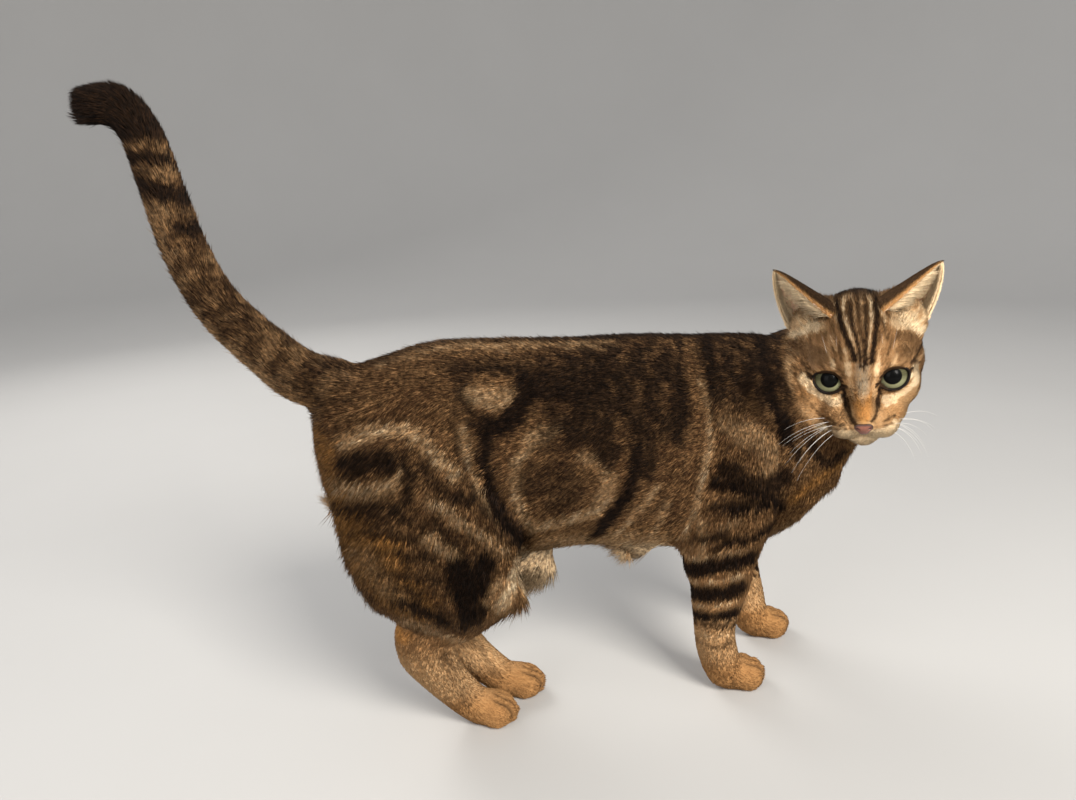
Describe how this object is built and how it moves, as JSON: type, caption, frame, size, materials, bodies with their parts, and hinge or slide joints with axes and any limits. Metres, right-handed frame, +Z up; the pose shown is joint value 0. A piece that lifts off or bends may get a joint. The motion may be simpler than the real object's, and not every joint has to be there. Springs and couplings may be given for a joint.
{
  "type": "standing european shorthair cat",
  "caption": "Life-size standing shorthaired cat with a brown blotched tabby coat, its tail raised and its head turned back over its right side.",
  "frame": {"origin": "on the floor under the middle of the whole animal's box, raised tail and turned head included", "axes": "+X along the body towards the chest, +Y to the cat's left, +Z up from the floor"},
  "size_m": [0.4824, 0.1346, 0.4072],
  "materials": {
    "tabby_fur": "short dense fur",
    "dark_fur": "short dense fur",
    "tan_fur": "short dense fur",
    "nose_leather": "moist matte",
    "eye": "wet gloss"
  },
  "bodies": {
    "root": {"ear_left": "tabby_fur", "ear_right": "tabby_fur", "eye_left": "eye", "eye_right": "eye", "forearm_left": "tabby_fur", "forearm_right": "tabby_fur", "forepaw_left": "tan_fur", "forepaw_right": "tan_fur", "head": "tabby_fur", "hind_paw_left": "tan_fur", "hind_paw_right": "tan_fur", "lower_leg_left": "tabby_fur", "lower_leg_right": "tabby_fur", "neck": "tabby_fur", "nose": "nose_leather", "tail_base": "tabby_fur", "tail_middle": "tabby_fur", "tail_tip": "dark_fur", "tail_upper": "tabby_fur", "thigh_left": "tabby_fur", "thigh_right": "tabby_fur", "torso": "tabby_fur", "upper_arm_left": "tabby_fur", "upper_arm_right": "tabby_fur"}
  },
  "joints": []
}
